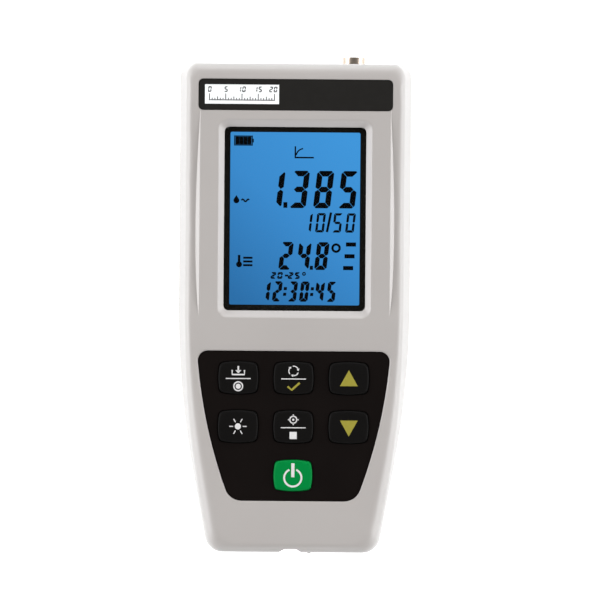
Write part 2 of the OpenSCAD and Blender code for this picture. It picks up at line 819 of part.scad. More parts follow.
module key(i, colour = black_colour) {
    size = keys[i][2];
    stem_z = board_top + pad_t + key_travel + fit;
    color(colour) in_frame() translate([keys[i][0], keys[i][1], 0]) {
        loft(concat(
            [raised(key_plan(size, 0), flange_top)],
            [for (e = key_edge) raised(key_plan(size, e[0]), key_top - e[1])]
        ));
        slab(round_rect(size[0] + 2 * key_flange, size[1] + 2 * key_flange, 2),
            flange_top - flange_t, flange_top);
        translate([0, 0, stem_z]) cylinder(h = flange_top - flange_t - stem_z, r = stem_r);
    }
}

module key_memory() { key(0); }
module key_set() { key(1); }
module key_up() { key(2); }
module key_backlight() { key(3); }
module key_calibrate() { key(4); }
module key_down() { key(5); }
module key_power() { key(6, [0.02, 0.55, 0.26]); }

// Board

// Room for a boss that cuts the board's edge, open towards the side and, at the corners, the end
module boss_relief(boss, down, up) {
    translate([boss[0] - relief_r, boss[1] - down, board_low - overcut])
        cube([relief_r + boss_inset + overcut, down + up, board_t + 2 * overcut]);
}

module main_board() {
    corner = boss_inset + 2 + relief_r;
    color(board_colour) in_frame() difference() {
        slab(housing_plan(board_inset), board_low, board_top);
        for (side = [0, 1]) mirror([side, 0, 0]) {
            boss_relief(bosses[0], relief_r, corner);
            boss_relief(bosses[1], relief_r, relief_r);
            boss_relief(bosses[2], corner, relief_r);
        }
        pairs(posts) translate([0, 0, board_low - overcut])
            cylinder(h = board_t + 2 * overcut, r = board_screw_r + fit);
    }
}

// A flat chip under the board
module chip(x, y, w, l, h) {
    translate([x - w / 2, y - l / 2, board_low - h]) cube([w, l, h]);
}

module microcontroller() {
    color([0.12, 0.12, 0.13]) in_frame()
        chip(-chip_x, display_y + chip_pitch, controller_w, controller_w, controller_h);
}

module analogue_chips() {
    color([0.12, 0.12, 0.13]) in_frame() for (i = [0:2])
        chip(chip_x, display_y + (i + 1) * chip_pitch, chip_w, chip_l, chip_h);
}

module clock_crystal() {
    color(metal_colour) in_frame()
        translate([board_piece_x, display_y + crystal_l / 2, board_low - crystal_r])
            rotate([-90, 0, 0]) cylinder(h = crystal_l, r = crystal_r);
}

module filter_capacitors() {
    color([0.2, 0.2, 0.3]) in_frame() for (i = [0, 1])
        translate([board_piece_x + i * capacitor_pitch, display_y + 3 * crystal_l, board_low - capacitor_h])
            cylinder(h = capacitor_h, r = capacitor_r);
}

module contact_pads() {
    color([0.85, 0.7, 0.3]) in_frame() for (k = keys)
        translate([k[0], k[1], board_top]) cylinder(h = pad_t, r = pad_r);
}

// Probe socket

module probe_socket() {
    color(metal_colour) in_frame() on_socket() difference() {
        union() {
            translate([0, 0, barrel_s]) cylinder(h = tip_s - barrel_s, r = socket_r);
            translate([0, 0, ring_t]) cylinder(h = collar_t, r = collar_r);
        }
        translate([0, 0, barrel_s - overcut])
            cylinder(h = tip_s - barrel_s + 2 * overcut, r = socket_bore_r);
    }
}

module pin_holes(grow, z0, z1) {
    for (i = [0:pin_n - 1]) rotate([0, 0, 360 * i / pin_n]) translate([pin_circle_r, 0, z0])
        cylinder(h = z1 - z0, r = pin_r + grow);
}

module socket_insulator() {
    color([0.1, 0.1, 0.1]) in_frame() on_socket() difference() {
        translate([0, 0, insulator_s - insulator_l]) cylinder(h = insulator_l, r = socket_bore_r - turn_gap);
        pin_holes(thread_gap, insulator_s - insulator_l - overcut, insulator_s + overcut);
    }
}

module socket_pins() {
    color([0.9, 0.75, 0.4]) in_frame() on_socket()
        pin_holes(0, insulator_s - insulator_l - tail_l, tip_s - pin_short);
}

module socket_ring() {
    color(black_colour) in_frame() on_socket() difference() {
        cylinder(h = ring_t, r = collar_r - 0.4);
        translate([0, 0, -overcut]) cylinder(h = ring_t + 2 * overcut, r = socket_r + turn_gap);
    }
}

module socket_washer() {
    color(metal_colour) in_frame() on_socket() translate([0, 0, inner_s - washer_t]) difference() {
        cylinder(h = washer_t, r = washer_r);
        translate([0, 0, -overcut]) cylinder(h = washer_t + 2 * overcut, r = socket_r + turn_gap);
    }
}

module socket_nut() {
    color(metal_colour) in_frame() on_socket() translate([0, 0, inner_s - washer_t - nut_t]) difference() {
        cylinder(h = nut_t, r = nut_r, $fn = 6);
        translate([0, 0, -overcut]) cylinder(h = nut_t + 2 * overcut, r = socket_r + thread_gap);
    }
}

// Each lead leaves a pin, turns up at an elbow and meets the board
module socket_leads() {
    start_s = insulator_s - insulator_l - tail_l;
    color([0.7, 0.15, 0.1]) in_frame() for (i = [0:pin_n - 1]) {
        a = 360 * i / pin_n;
        run = lead_run + 2 * lead_r * (pin_n - 1 - i);
        lift = socket_z - pin_circle_r * sin(a);
        translate([socket_x + pin_circle_r * cos(a), seat_y + start_s, lift]) {
            rotate([90, 0, 0]) cylinder(h = run, r = lead_r);
            translate([0, -run, 0]) sphere(lead_r + 0.1);
            translate([0, -run, 0]) cylinder(h = board_low - lift, r = lead_r);
        }
    }
}

// Battery

module cell_spots() {
    for (i = [0:cell_n - 1]) translate([(i - (cell_n - 1) / 2) * cell_pitch, door_y, cell_z])
        rotate([0, 0, i % 2 == 0 ? 0 : 180]) children();
}

// Each cell has its nub at the local +Y end
module battery_cells() {
    nub_y = bay_l / 2 - contact_t;
    color([0.15, 0.3, 0.55]) in_frame() cell_spots() {
        translate([0, nub_y - cell_l, 0]) rotate([-90, 0, 0]) cylinder(h = cell_l - nub_l, r = cell_r);
        translate([0, nub_y - nub_l, 0]) rotate([-90, 0, 0]) cylinder(h = nub_l, r = nub_r);
    }
}

module battery_springs() {
    color(metal_colour) in_frame() cell_spots() translate([0, -bay_l / 2 + contact_t, 0]) rotate([-90, 0, 0])
        difference() {
            cylinder(h = spring_l, r1 = spring_low_r, r2 = spring_high_r);
            translate([0, 0, -overcut]) cylinder(h = spring_l + 2 * overcut,
                r1 = spring_low_r - spring_wall, r2 = spring_high_r - spring_wall);
        }
}

module contact_plate(first, count, end) {
    w = (count - 1) * cell_pitch + 9;
    x = (first + (count - 1) / 2 - (cell_n - 1) / 2) * cell_pitch;
    y = door_y + end * (bay_l / 2 - contact_t / 2);
    translate([x - w / 2, y - contact_t / 2, cell_z - 4.5]) cube([w, contact_t, 9]);
}

module battery_contacts() {
    color(metal_colour) in_frame() {
        contact_plate(0, 2, 1);
        contact_plate(2, 2, 1);
        contact_plate(0, 1, -1);
        contact_plate(1, 2, -1);
        contact_plate(3, 1, -1);
        for (side = [-1, 1]) translate([side * outer_cell_x, door_y - bay_l / 2, 0]) {
            translate([-tab_w / 2, 0, cell_z]) cube([tab_w, contact_t, tab_top - cell_z]);
            translate([-tab_w / 2, 0, tab_top - contact_t]) cube([tab_w, tab_foot, contact_t]);
        }
    }
}

module supply_pins() {
    color([0.9, 0.75, 0.4]) in_frame() for (side = [-1, 1])
        translate([side * outer_cell_x, door_y - bay_l / 2 + tab_foot / 2, tab_top]) {
            cylinder(h = board_low - tab_top, r = supply_r);
            translate([0, 0, (board_low - tab_top) / 4])
                cylinder(h = (board_low - tab_top) * 3 / 4, r = supply_collar_r);
        }
}

module battery_door() {
    color(shell_colour) in_frame() difference() {
        translate([0, door_y, 0]) union() {
            slab(round_rect(door_w, door_l, door_r), door_sink, door_in_z);
            for (y = [-1, 0, 1]) translate([-bay_w / 2 + 2, y * bay_l / 3 - 0.8, door_in_z])
                cube([bay_w - 4, 1.6, rib_h]);
        }
        for (y = door_screw_y) translate([0, y, 0]) {
            translate([0, 0, door_sink - overcut])
                cylinder(h = coin_seat_z - door_sink + overcut, r = coin_r + slide_gap);
            cylinder(h = door_in_z + overcut, r = screw_r + turn_gap);
        }
    }
}

module door_seal() {
    color(black_colour) in_frame() translate([0, door_y, 0]) difference() {
        slab(round_rect(door_w - 0.8, door_l - 0.8, door_r - 0.4), door_in_z, door_seat_z);
        slab(round_rect(door_w - 4.4, door_l - 4.4, door_r - 2.2), 0, door_seat_z + overcut);
    }
}

// Screw with a wide slotted head, its shank pointing up into the housing
module door_screw(y) {
    color(metal_colour) in_frame() translate([0, y, 0]) difference() {
        union() {
            translate([0, 0, coin_low_z]) cylinder(h = coin_seat_z - coin_low_z, r = coin_r);
            translate([0, 0, coin_low_z]) cylinder(h = coin_seat_z + door_shank - coin_low_z, r = screw_r);
        }
        translate([-coin_r - overcut, -coin_slot_w / 2, coin_low_z - overcut])
            cube([2 * coin_r + 2 * overcut, coin_slot_w, coin_slot_d + overcut]);
    }
}

module door_screw_upper() { door_screw(door_screw_y[0]); }
module door_screw_lower() { door_screw(door_screw_y[1]); }

module case_screws() {
    color(metal_colour) in_frame() pairs(bosses) difference() {
        union() {
            translate([0, 0, head_sink]) cylinder(h = head_h, r = head_r);
            translate([0, 0, head_sink]) cylinder(h = split_z + thread_l - head_sink, r = screw_r);
        }
        for (a = [0, 90]) rotate([0, 0, a]) translate([-1.6, -0.3, head_sink - overcut])
            cube([3.2, 0.6, 1.2 + overcut]);
    }
}

module board_screws() {
    color(metal_colour) in_frame() pairs(posts) {
        translate([0, 0, board_low - board_head_h]) cylinder(h = board_head_h, r = board_head_r);
        translate([0, 0, board_low - board_head_h / 2])
            cylinder(h = board_head_h / 2 + board_t + board_thread, r = board_screw_r);
    }
}

front_shell();
rear_shell();
housing_seal();
name_plate();
display_window();
window_gasket();
display_glass();
display_holder();
backlight_panel();
contact_strips();
keypad_fascia();
key_memory();
key_set();
key_up();
key_backlight();
key_calibrate();
key_down();
key_power();
main_board();
microcontroller();
analogue_chips();
clock_crystal();
filter_capacitors();
contact_pads();
probe_socket();
socket_insulator();
socket_pins();
socket_ring();
socket_washer();
socket_nut();
socket_leads();
battery_cells();
battery_contacts();
battery_springs();
supply_pins();
battery_door();
door_seal();
door_screw_upper();
door_screw_lower();
case_screws();
board_screws();
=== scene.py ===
# %% [markdown]
# The object is a handheld conductivity meter that lies on its back. Its solids come from CAD as a fixed
# frame, so nothing here sets a size of its own: each new piece takes its place from the box of the node
# that carries it. The first cell loads that frame and notes how large it is before anything is added.

# %% Load the frame
import math

import bmesh
import bpy
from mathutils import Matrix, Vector


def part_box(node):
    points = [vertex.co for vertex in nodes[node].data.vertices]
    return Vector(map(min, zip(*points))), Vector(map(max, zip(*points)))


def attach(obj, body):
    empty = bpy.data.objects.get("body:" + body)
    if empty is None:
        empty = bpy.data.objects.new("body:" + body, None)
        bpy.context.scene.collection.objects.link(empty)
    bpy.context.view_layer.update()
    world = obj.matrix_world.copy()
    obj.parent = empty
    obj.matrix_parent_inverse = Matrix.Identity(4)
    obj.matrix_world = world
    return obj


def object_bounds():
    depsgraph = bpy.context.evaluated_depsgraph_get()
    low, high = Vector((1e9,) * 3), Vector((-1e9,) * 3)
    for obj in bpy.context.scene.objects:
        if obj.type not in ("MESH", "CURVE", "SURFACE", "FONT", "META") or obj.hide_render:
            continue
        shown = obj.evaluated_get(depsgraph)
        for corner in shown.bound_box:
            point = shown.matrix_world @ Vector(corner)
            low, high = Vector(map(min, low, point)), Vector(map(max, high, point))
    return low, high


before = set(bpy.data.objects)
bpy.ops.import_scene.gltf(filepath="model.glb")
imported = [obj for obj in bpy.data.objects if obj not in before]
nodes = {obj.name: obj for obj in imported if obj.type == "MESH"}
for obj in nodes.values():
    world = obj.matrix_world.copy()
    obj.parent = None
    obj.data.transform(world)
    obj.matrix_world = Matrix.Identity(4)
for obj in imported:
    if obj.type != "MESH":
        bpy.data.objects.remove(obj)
cad_low, cad_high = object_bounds()
mm = 0.001
scene = bpy.context.scene
print("nodes:", len(nodes), "box in mm:", [round(v / mm, 1) for v in cad_high - cad_low])

# %% [markdown]
# The meter was photographed from straight above with a long lens, as catalogue pictures are, so its side
# walls hardly show. A camera far away with a narrow view gives the same flat perspective. The lens could
# be found by trial, but it follows from two sizes: the distance and how many pixels a millimetre of the
# face takes in the picture. The object also sits a little low, left of centre and turned by half a degree.

# %% Camera
image_px = 600
face_px_per_mm = 2.665
camera_height = 1.34
face_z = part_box("front_shell")[1].z
camera_x, camera_y = 2.17 * mm, 1.815 * mm
camera_turn = math.radians(0.458)

camera_data = bpy.data.cameras.new("camera")
camera_data.sensor_width = 36
pixels_per_radian = face_px_per_mm * (camera_height - face_z) / mm
camera_data.lens = pixels_per_radian * camera_data.sensor_width / image_px
camera = bpy.data.objects.new("camera", camera_data)
scene.collection.objects.link(camera)
camera.location = (camera_x, camera_y, camera_height)
camera.rotation_euler = (0, 0, camera_turn)
scene.camera = camera
scene.view_settings.view_transform = "Standard"
print("lens in mm:", round(camera_data.lens, 1))

# %% [markdown]
# The photograph has a pure white ground with no shadow, which is what a light table gives. A plain pale
# floor would go grey beside the meter, so this floor also glows a little. Its light would reach all four
# walls alike, but the picture's lower end is dark, so the floor lights nothing itself and the world below
# stands in for it.

# %% Floor
floor_size = 6.0
floor_gap = 0.05 * mm
floor_glow = 0.72

floor_mesh = bpy.data.meshes.new("floor")
half_floor = floor_size / 2
floor_corners = [(x * half_floor, y * half_floor, 0) for x, y in ((-1, -1), (1, -1), (1, 1), (-1, 1))]
floor_mesh.from_pydata(floor_corners, [], [(0, 1, 2, 3)])
floor = bpy.data.objects.new("floor", floor_mesh)
scene.collection.objects.link(floor)
floor.location.z = cad_low.z - floor_gap
floor.visible_diffuse = False
floor_look = bpy.data.materials.new("pale_floor")
floor_look.use_nodes = True
floor_shader = floor_look.node_tree.nodes["Principled BSDF"]
floor_shader.inputs["Base Color"].default_value = (0.9, 0.9, 0.9, 1)
floor_shader.inputs["Roughness"].default_value = 0.8
floor_shader.inputs["Emission Color"].default_value = (1, 1, 1, 1)
floor_shader.inputs["Emission Strength"].default_value = floor_glow
floor_mesh.materials.append(floor_look)
print("floor glow:", floor_glow)

# %% [markdown]
# In the picture the side walls are far brighter than the face, and the left and right bevels of the
# display pocket are brighter than its ends. So the light comes from both sides and low down. Two wide
# soft boxes do this, with a weaker one past either end. The world is bright below, as the ground is, and
# dim above, so that the black rubber and the window reflect next to nothing. Towards the lower end it
# fades, which keeps that edge darker than the face.

# %% Lights
cool_white = (0.955, 0.975, 1.0)


def soft_box(name, place, size, watts):
    light_data = bpy.data.lights.new(name, "AREA")
    light_data.shape = "RECTANGLE"
    light_data.size, light_data.size_y = size
    light_data.energy = watts
    light_data.color = cool_white
    light = bpy.data.objects.new(name, light_data)
    scene.collection.objects.link(light)
    light.location = place
    aim = Vector((0, 0, face_z)) - Vector(place)
    light.rotation_euler = aim.to_track_quat("-Z", "Y").to_euler()
    light.visible_camera = False


box_reach, box_height, box_ahead = 1.5, 0.52, 0.1
box_size = (1.3, 0.7)
left_watts, right_watts, top_watts, foot_watts = 29.5, 29, 14.3, 11
soft_box("left_box", (-box_reach, box_ahead, box_height), box_size, left_watts)
soft_box("right_box", (box_reach, box_ahead, box_height), box_size, right_watts)
soft_box("top_box", (0, box_reach, box_height), box_size, top_watts)
soft_box("foot_box", (0, -box_reach, box_height), box_size, foot_watts)

world = bpy.data.worlds.new("studio")
scene.world = world
world.use_nodes = True
sky = world.node_tree
sky_strength = 2.44
foot_share = 0.35
fade_start, fade_stop = -0.8, -0.1
ground_at, ground_tone = 0.46, (0.575, 0.685, 0.75, 1)
horizon_at, horizon_tone = 0.55, (0.46, 0.47, 0.48, 1)
zenith_at, zenith_tone = 0.97, (0.09, 0.09, 0.09, 1)
sky_spot = sky.nodes.new("ShaderNodeTexCoord")
sky_split = sky.nodes.new("ShaderNodeSeparateXYZ")
sky_height = sky.nodes.new("ShaderNodeMapRange")
sky_height.inputs["From Min"].default_value = -1
sky_ramp = sky.nodes.new("ShaderNodeValToRGB")
sky_ramp.color_ramp.elements[0].position = ground_at
sky_ramp.color_ramp.elements[0].color = ground_tone
sky_ramp.color_ramp.elements[1].position = zenith_at
sky_ramp.color_ramp.elements[1].color = zenith_tone
sky_ramp.color_ramp.elements.new(horizon_at).color = horizon_tone
sky_fade = sky.nodes.new("ShaderNodeMapRange")
sky_fade.inputs["From Min"].default_value = fade_start
sky_fade.inputs["From Max"].default_value = fade_stop
sky_fade.inputs["To Min"].default_value = foot_share * sky_strength
sky_fade.inputs["To Max"].default_value = sky_strength
sky.links.new(sky_spot.outputs["Generated"], sky_split.inputs[0])
sky.links.new(sky_split.outputs["Z"], sky_height.inputs["Value"])
sky.links.new(sky_height.outputs["Result"], sky_ramp.inputs[0])
sky.links.new(sky_split.outputs["Y"], sky_fade.inputs["Value"])
sky.links.new(sky_ramp.outputs[0], sky.nodes["Background"].inputs["Color"])
sky.links.new(sky_fade.outputs["Result"], sky.nodes["Background"].inputs["Strength"])

# %% [markdown]
# A solid from CAD arrives as flat faces whose corners aren't shared, so a curved shell would look cut
# like a gem. Its mesh has to stay as it is. A modifier can join the corners and shade every edge under
# a limit angle as one smooth surface, which keeps real corners crisp. A large flat face would then lean
# towards the roundings at its rim and show a broad false shade, so a second modifier gives large faces
# the greater say.

# %% Smooth shading for the solids
crease_angle = math.radians(38)
corner_join = 0.004 * mm


def smoothing_group():
    group = bpy.data.node_groups.new("smooth_below_angle", "GeometryNodeTree")
    group.interface.new_socket("Geometry", in_out="INPUT", socket_type="NodeSocketGeometry")
    group.interface.new_socket("Geometry", in_out="OUTPUT", socket_type="NodeSocketGeometry")
    start = group.nodes.new("NodeGroupInput")
    end = group.nodes.new("NodeGroupOutput")
    merge = group.nodes.new("GeometryNodeMergeByDistance")
    merge.inputs["Distance"].default_value = corner_join
    angle = group.nodes.new("GeometryNodeInputMeshEdgeAngle")
    sharp = group.nodes.new("FunctionNodeCompare")
    sharp.inputs["B"].default_value = crease_angle
    normals = group.nodes.new("GeometryNodeSetMeshNormal")
    normals.inputs["Remove Custom"].default_value = True
    group.links.new(start.outputs[0], merge.inputs["Geometry"])
    group.links.new(angle.outputs["Unsigned Angle"], sharp.inputs["A"])
    group.links.new(sharp.outputs["Result"], normals.inputs["Edge Sharpness"])
    group.links.new(merge.outputs["Geometry"], normals.inputs["Mesh"])
    group.links.new(normals.outputs["Mesh"], end.inputs[0])
    return group


smooth_group = smoothing_group()
for solid in nodes.values():
    solid.modifiers.new("smooth", "NODES").node_group = smooth_group
    weighted = solid.modifiers.new("flat_stays_flat", "WEIGHTED_NORMAL")
    weighted.mode = "FACE_AREA"
    weighted.weight = 50
    weighted.keep_sharp = True
print("smoothed nodes:", len(nodes))

# %% [markdown]
# Every finish starts from the same recipe. A flat colour looks like paint on a screen, while a real
# surface varies a little in tone and in gloss and has a fine grain. Noise in the object's own space does
# all three, and the helper below takes its sizes in millimetres.

# %% Finish helper
gloss_low, gloss_high = 0.93, 1.07


def noise(tree, size_mm, detail=3.0):
    spot = tree.nodes.new("ShaderNodeTexCoord")
    grain = tree.nodes.new("ShaderNodeTexNoise")
    grain.inputs["Scale"].default_value = 1 / (size_mm * mm)
    grain.inputs["Detail"].default_value = detail
    tree.links.new(spot.outputs["Object"], grain.inputs["Vector"])
    return grain.outputs["Fac"]


def blend_ramp(tree, source, low, high, start=0.3, stop=0.7):
    ramp = tree.nodes.new("ShaderNodeValToRGB")
    ramp.color_ramp.elements[0].position = start
    ramp.color_ramp.elements[0].color = low
    ramp.color_ramp.elements[1].position = stop
    ramp.color_ramp.elements[1].color = high
    tree.links.new(source, ramp.inputs[0])
    return ramp.outputs[0]


def grey(value):
    return (value, value, value, 1)


def shaded(colour, factor):
    return tuple(channel * factor for channel in colour) + (1,)


def finish(name, colour, rough, grain_mm=0.3, bump_mm=0.01, mottle=0.04, mottle_mm=12, metal=0.0):
    look = bpy.data.materials.new(name)
    look.use_nodes = True
    tree = look.node_tree
    shader = tree.nodes["Principled BSDF"]
    tone = blend_ramp(tree, noise(tree, mottle_mm), shaded(colour, 1 - mottle), shaded(colour, 1 + mottle))
    tree.links.new(tone, shader.inputs["Base Color"])
    gloss = blend_ramp(tree, noise(tree, grain_mm * 4), grey(rough * gloss_low), grey(rough * gloss_high))
    tree.links.new(gloss, shader.inputs["Roughness"])
    bump = tree.nodes.new("ShaderNodeBump")
    bump.inputs["Distance"].default_value = bump_mm * mm
    tree.links.new(noise(tree, grain_mm, 4.0), bump.inputs["Height"])
    tree.links.new(bump.outputs[0], shader.inputs["Normal"])
    shader.inputs["Metallic"].default_value = metal
    return look


def dress(names, look):
    for name in names:
        mesh = nodes[name].data
        mesh.materials.clear()
        mesh.materials.append(look)
    print(look.name, "on", ", ".join(names))


# %% [markdown]
# The housing is moulded in a warm light grey plastic with a fine spark-eroded grain. A glossy plastic
# would mirror the soft boxes, and the picture shows no mirror anywhere, so the surface is rather rough
# and its grain is a fifth of a millimetre.

# %% Housing plastic
housing_grey = (0.382, 0.352, 0.332)
housing = finish("housing_plastic", housing_grey, 0.44, 0.2, bump_mm=0.012, mottle=0.015, mottle_mm=30)
dress(["front_shell", "rear_shell", "battery_door"], housing)

# %% [markdown]
# The fascia and the keys are black silicone rubber. Rubber takes its dull look from very fine pores, so
# the reflection is weak and wide. The keys are a touch lighter than the fascia, which is how they can be
# told apart in the picture, and the power key is moulded in green.

# %% Rubber and the name plate
dull_specular = 0.04
fascia_black = finish("fascia_rubber", (0.005, 0.0034, 0.0029), 0.6, 0.25, bump_mm=0.008, mottle=0.08)
key_black = finish("key_rubber", (0.005, 0.0045, 0.0042), 0.5, 0.15, bump_mm=0.006, mottle=0.06)
power_green = finish("power_rubber", (0.0002, 0.182, 0.0355), 0.5, 0.15, bump_mm=0.006, mottle=0.03)
plate_black = finish("plate_foil", (0.0155, 0.0144, 0.0131), 0.42, bump_mm=0.004, mottle_mm=3)
seal_black = finish("seal_rubber", (0.012, 0.012, 0.012), 0.65, 0.3, bump_mm=0.01)
gasket_black = finish("gasket_rubber", (0.0075, 0.0066, 0.0048), 0.6, 0.3, bump_mm=0.006, mottle=0.1)
for look in (fascia_black, key_black, plate_black, seal_black, power_green, gasket_black):
    look.node_tree.nodes["Principled BSDF"].inputs["Specular IOR Level"].default_value = dull_specular

dark_keys = ["key_memory", "key_set", "key_up", "key_backlight", "key_calibrate", "key_down"]
dress(["keypad_fascia"], fascia_black)
dress(dark_keys, key_black)
dress(["key_power"], power_green)
dress(["name_plate"], plate_black)
dress(["window_gasket"], gasket_black)
dress(["housing_seal", "door_seal", "socket_ring"], seal_black)

# %% [markdown]
# The display glows: a light guide behind the liquid crystal fills it with blue, brighter at the upper
# right and darker at the lower left. A lamp behind real glass would be slow and noisy, so the glass
# itself emits light, and its colour follows a slanted gradient in the object's own space.

# %% Display glow
glass_low, glass_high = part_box("display_glass")
glass_mid = (glass_low + glass_high) / 2
glow_dark = (0.0245, 0.158, 0.395, 1)
glow_middle = (0.0425, 0.255, 0.61, 1)
glow_bright = (0.052, 0.31, 0.715, 1)
glow_strength = 1.15
glow_slant = (0.66, 0.75)

glow = bpy.data.materials.new("display_glow")
glow.use_nodes = True
glow_tree = glow.node_tree
glow_shader = glow_tree.nodes["Principled BSDF"]
glow_spot = glow_tree.nodes.new("ShaderNodeTexCoord")
glow_dot = glow_tree.nodes.new("ShaderNodeVectorMath")
glow_dot.operation = "DOT_PRODUCT"
glow_dot.inputs[1].default_value = (glow_slant[0], glow_slant[1], 0)
glow_tree.links.new(glow_spot.outputs["Object"], glow_dot.inputs[0])
glow_range = glow_tree.nodes.new("ShaderNodeMapRange")
glow_reach = glow_slant[0] * (glass_high.x - glass_mid.x) + glow_slant[1] * (glass_high.y - glass_mid.y)
glow_centre = glow_slant[0] * glass_mid.x + glow_slant[1] * glass_mid.y
glow_range.inputs["From Min"].default_value = glow_centre - glow_reach
glow_range.inputs["From Max"].default_value = glow_centre + glow_reach
glow_tree.links.new(glow_dot.outputs["Value"], glow_range.inputs["Value"])
glow_colour = blend_ramp(glow_tree, glow_range.outputs["Result"], glow_dark, glow_bright, 0.1, 0.9)
glow_colour.node.color_ramp.elements.new(0.5).color = glow_middle
glow_tree.links.new(glow_colour, glow_shader.inputs["Emission Color"])
glow_shader.inputs["Base Color"].default_value = (0.001, 0.006, 0.015, 1)
glow_shader.inputs["Specular IOR Level"].default_value = 0.05
glow_shader.inputs["Roughness"].default_value = 0.35
glow_shader.inputs["Emission Strength"].default_value = glow_strength
dress(["display_glass", "backlight_panel"], glow)

# %% [markdown]
# The window is a clear hard-coated pane that sits on a black gasket. True transmission would bend light
# and cast the gasket into full shadow, since the renderer follows no light through bent glass. The pane
# is thin and flat, so it is mostly see-through instead, with a thin gloss on top.

# %% Window
pane = bpy.data.materials.new("clear_pane")
pane.use_nodes = True
pane_tree = pane.node_tree
pane_shader = pane_tree.nodes["Principled BSDF"]
pane_shader.inputs["Base Color"].default_value = (0.004, 0.006, 0.008, 1)
pane_shader.inputs["Alpha"].default_value = 0.08
pane_shader.inputs["IOR"].default_value = 1.46
pane_gloss = blend_ramp(pane_tree, noise(pane_tree, 6), grey(0.04), grey(0.07))
pane_tree.links.new(pane_gloss, pane_shader.inputs["Roughness"])
dress(["display_window"], pane)

# %% [markdown]
# Segments, print and symbols are all thin flat shapes with sharp edges. Text objects could draw some of
# them, but most are pictures, so every shape is an outline in millimetres that becomes a prism a few
# hundredths thick. One helper builds the prisms. The others give outlines: a stroke along points, an arc,
# a disc, a bar and a hollow rectangle.

# %% Flat shapes
def prisms(name, outlines, origin, thick_mm, look, body):
    """One piece made of closed outlines in millimetres, standing on the point origin."""
    builder = bmesh.new()
    for outline in outlines:
        low = [builder.verts.new(origin + Vector((x, y, 0)) * mm) for x, y in outline]
        high = [builder.verts.new(origin + Vector((x, y, thick_mm)) * mm) for x, y in outline]
        count = len(outline)
        builder.faces.new(high)
        builder.faces.new(low[::-1])
        for i in range(count):
            j = (i + 1) % count
            builder.faces.new((low[i], low[j], high[j], high[i]))
    bmesh.ops.recalc_face_normals(builder, faces=builder.faces)
    mesh = bpy.data.meshes.new(name)
    builder.to_mesh(mesh)
    builder.free()
    mesh.materials.append(look)
    piece = bpy.data.objects.new(name, mesh)
    scene.collection.objects.link(piece)
    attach(piece, body)


def stroke(points, width):
    """Outline of a line of even width along points."""
    left, right = [], []
    last = len(points) - 1
    for i, (x, y) in enumerate(points):
        ahead = points[min(i + 1, last)]
        behind = points[max(i - 1, 0)]
        along = Vector((ahead[0] - behind[0], ahead[1] - behind[1])).normalized()
        left.append((x - along.y * width / 2, y + along.x * width / 2))
        right.append((x + along.y * width / 2, y - along.x * width / 2))
    return left + right[::-1]


def arc(centre, radius, start, stop, steps=16):
    """Points along an arc, angles in degrees from the right."""
    angles = [math.radians(start + (stop - start) * i / steps) for i in range(steps + 1)]
    return [(centre[0] + radius * math.cos(a), centre[1] + radius * math.sin(a)) for a in angles]


def disc(centre, radius, steps=24):
    return arc(centre, radius, 0, 360 * (steps - 1) / steps, steps - 1)


def bar(centre, width, height):
    x, y = centre
    return [
        (x - width / 2, y - height / 2),
        (x + width / 2, y - height / 2),
        (x + width / 2, y + height / 2),
        (x - width / 2, y + height / 2),
    ]


def frame_of(centre, width, height, line):
    """The four bars of a hollow rectangle."""
    x, y = centre
    side = height - 2 * line
    return [
        bar((x, y + (height - line) / 2), width, line),
        bar((x, y - (height - line) / 2), width, line),
        bar((x - (width - line) / 2, y), line, side),
        bar((x + (width - line) / 2, y), line, side),
    ]


print("shape helpers ready")

# %% [markdown]
# Liquid crystal digits are made of seven segments with mitred ends and lean to the right. Drawing each
# digit by hand would mean hundreds of points. Instead the seven outlines are worked out from the height,
# width and stroke of a digit, and a table says which of them each figure lights.

# %% Seven segments
lean = math.tan(math.radians(6.5))
lit = {
    "0": "abcdef", "1": "bc", "2": "abged", "3": "abgcd", "4": "fgbc",
    "5": "afgcd", "6": "afgecd", "7": "abc", "8": "abcdefg", "9": "abcdfg",
}


def segments(width, height, line, gap):
    """Outlines of segments a to g with the lower left corner at the origin."""
    middle = height / 2
    inner = width - line
    low = height - line
    blunt = 0.22 * line
    top_bar = [
        (gap + blunt, height - blunt), (gap + 2 * blunt, height), (width - gap - 2 * blunt, height),
        (width - gap - blunt, height - blunt), (inner - gap, low), (line + gap, low),
    ]
    upper_left = [
        (blunt, height - gap - blunt), (0, height - gap - 2 * blunt), (0, middle + gap + line * 0.35),
        (line / 2, middle + gap), (line, middle + gap + line / 2), (line, low - gap),
    ]

    def across(outline):
        return [(width - x, y) for x, y in outline]

    def down(outline):
        return [(x, height - y) for x, y in outline]

    middle_bar = [
        (gap + line / 2, middle), (line + gap, middle + line / 2), (inner - gap, middle + line / 2),
        (width - gap - line / 2, middle), (inner - gap, middle - line / 2), (line + gap, middle - line / 2),
    ]
    return {
        "a": top_bar, "b": across(upper_left), "c": down(across(upper_left)), "d": down(top_bar),
        "e": down(upper_left), "f": upper_left, "g": middle_bar,
    }


def number(text, right, foot, size, line, pitch, gap):
    """Outlines of a figure that ends at right and stands on foot. size is a digit's width and height."""
    width, height = size
    colon_room = line
    dot = 0.85 * line
    shapes = []
    x = right - width
    for character in reversed(text):
        if character == ":":
            dot_x = x + pitch - (pitch - width + colon_room) / 2
            shapes += [bar((dot_x, foot + height * share), dot, dot) for share in (0.36, 0.64)]
            x -= colon_room
        else:
            outlines = segments(width, height, line, gap)
            for key in lit[character]:
                shapes.append([(x + px, foot + py) for px, py in outlines[key]])
            x -= pitch
    return [[(px + (py - foot) * lean, py) for px, py in shape] for shape in shapes]


print("segments per digit:", len(segments(5, 10, 1, 0.1)))

